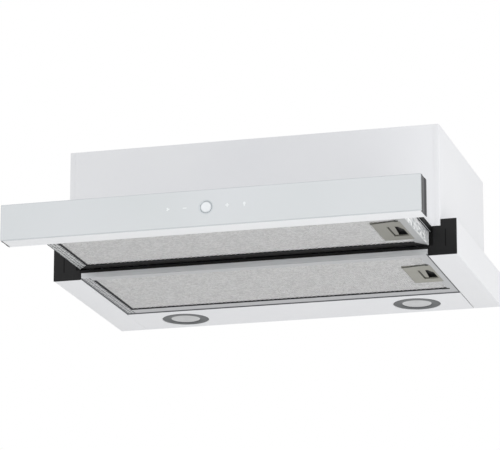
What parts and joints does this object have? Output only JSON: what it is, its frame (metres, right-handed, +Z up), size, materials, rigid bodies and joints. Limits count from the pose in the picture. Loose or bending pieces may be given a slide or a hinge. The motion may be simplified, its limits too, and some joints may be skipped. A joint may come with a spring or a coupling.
{
  "type": "pull out range hood",
  "caption": "Built-in slide-out range hood: a white sheet steel box over a wider tray with a mesh grease filter and lamps, and a glass-fronted drawer with its own filter that pulls out.",
  "frame": {"origin": "middle of the hood's underside with the drawer out: halfway between its left and right ends, halfway between the glass front and the back of the tray, at the height of the tray's underside", "axes": "+X to the user's right along the glass front, +Y to the wall behind, +Z up to the duct"},
  "size_m": [0.596, 0.5494, 0.227],
  "materials": {
    "white_paint": "white powder coat, satin, on sheet steel",
    "white_aluminium": "white powder coat, satin, on an extruded profile",
    "white_glass": "toughened glass, white enamel behind, polished",
    "zinc_steel": "galvanised sheet, fine spangle",
    "bright_steel": "bright drawn steel",
    "filter_aluminium": "mill finish, fine stipple",
    "filter_mesh": "expanded mesh in pressed layers",
    "black_plastic": "moulded, fine texture",
    "grey_plastic": "moulded, satin",
    "latch_plastic": "moulded, warm grey, satin",
    "white_plastic": "moulded, satin",
    "button_plastic": "moulded, bright white, gloss",
    "ring_metal": "turned ring, satin",
    "lamp_metal": "spun ring, satin grey",
    "lens_plastic": "frosted diffuser",
    "circuit_board": "green solder mask"
  },
  "bodies": {
    "housing": {"front_panel": "white_paint", "side_panel_left": "white_paint", "side_panel_right": "white_paint", "back_panel": "white_paint", "top_plate": "white_paint", "tray_side_left": "white_paint", "tray_side_right": "white_paint", "tray_rear": "white_paint", "lamp_panel": "white_paint", "guide_cap_left": "black_plastic", "guide_cap_right": "black_plastic", "cross_bar": "black_plastic", "slide_channel_left": "zinc_steel", "slide_channel_right": "zinc_steel", "scroll_left": "grey_plastic", "scroll_right": "grey_plastic", "fan_motor": "zinc_steel", "motor_bracket": "zinc_steel", "outlet_collar": "grey_plastic", "damper_pin": "bright_steel", "lamp_bezel_left": "lamp_metal", "lamp_lens_left": "lens_plastic", "lamp_body_left": "lamp_metal", "lamp_bezel_right": "lamp_metal", "lamp_lens_right": "lens_plastic", "lamp_body_right": "lamp_metal", "terminal_box": "white_plastic", "lamp_driver": "white_plastic", "capacitor": "white_plastic", "drawer_switch": "black_plastic", "cable_gland": "black_plastic"},
    "drawer": {"runner_left": "black_plastic", "runner_right": "black_plastic", "drawer_side_left": "zinc_steel", "drawer_side_right": "zinc_steel", "drawer_cover": "white_paint", "drawer_front_rail": "zinc_steel", "fascia_profile": "white_aluminium", "fascia_glass": "white_glass", "fascia_end_cap_left": "grey_plastic", "fascia_end_cap_right": "grey_plastic", "control_frame": "black_plastic", "control_board": "circuit_board", "button_ring": "ring_metal"},
    "power_button": {"power_button": "button_plastic"},
    "front_filter": {"front_filter_frame": "filter_aluminium", "front_filter_pad": "filter_mesh", "front_filter_seal": "black_plastic", "front_latch_plate": "latch_plastic", "front_latch_spring": "bright_steel"},
    "front_latch": {"front_latch_slider": "latch_plastic"},
    "rear_filter": {"rear_filter_frame": "filter_aluminium", "rear_filter_pad": "filter_mesh", "rear_latch_plate": "latch_plastic", "rear_latch_spring": "bright_steel"},
    "rear_latch": {"rear_latch_slider": "latch_plastic"},
    "fan_wheel": {"impeller": "grey_plastic", "fan_shaft": "bright_steel"},
    "damper_front": {"damper_flap_front": "grey_plastic"},
    "damper_rear": {"damper_flap_rear": "grey_plastic"}
  },
  "joints": [
    {"name": "drawer_slide", "type": "slide", "parent": "housing", "child": "drawer", "axis": [0, 1, 0], "range_m": [0, 0.1895]},
    {"name": "power_button_press", "type": "slide", "parent": "drawer", "child": "power_button", "axis": [0, 1, 0], "range_m": [0, 0.0014], "stiffness_N_per_m": 700},
    {"name": "front_filter_swing", "type": "hinge", "parent": "drawer", "child": "front_filter", "pos_m": [-0.2562, -0.14285, 0.015], "axis": [0, -1, 0], "range_deg": [-75, 0]},
    {"name": "front_latch_slide", "type": "slide", "parent": "front_filter", "child": "front_latch", "axis": [-1, 0, 0], "range_m": [0, 0.006], "stiffness_N_per_m": 300, "deforming": ["front_latch_spring"]},
    {"name": "rear_filter_swing", "type": "hinge", "parent": "housing", "child": "rear_filter", "pos_m": [-0.2562, 0.06375, 0.0012], "axis": [0, -1, 0], "range_deg": [-75, 0]},
    {"name": "rear_latch_slide", "type": "slide", "parent": "rear_filter", "child": "rear_latch", "axis": [-1, 0, 0], "range_m": [0, 0.006], "stiffness_N_per_m": 300, "deforming": ["rear_latch_spring"]},
    {"name": "impeller_spin", "type": "hinge", "parent": "housing", "child": "fan_wheel", "pos_m": [0, 0.10075, 0.119], "axis": [1, 0, 0], "continuous": true},
    {"name": "damper_front_swing", "type": "hinge", "parent": "housing", "child": "damper_front", "pos_m": [0, 0.14875, 0.1952], "axis": [-1, 0, 0], "range_deg": [0, 75]},
    {"name": "damper_rear_swing", "type": "hinge", "parent": "housing", "child": "damper_rear", "pos_m": [0, 0.14875, 0.1952], "axis": [1, 0, 0], "range_deg": [0, 75]}
  ]
}
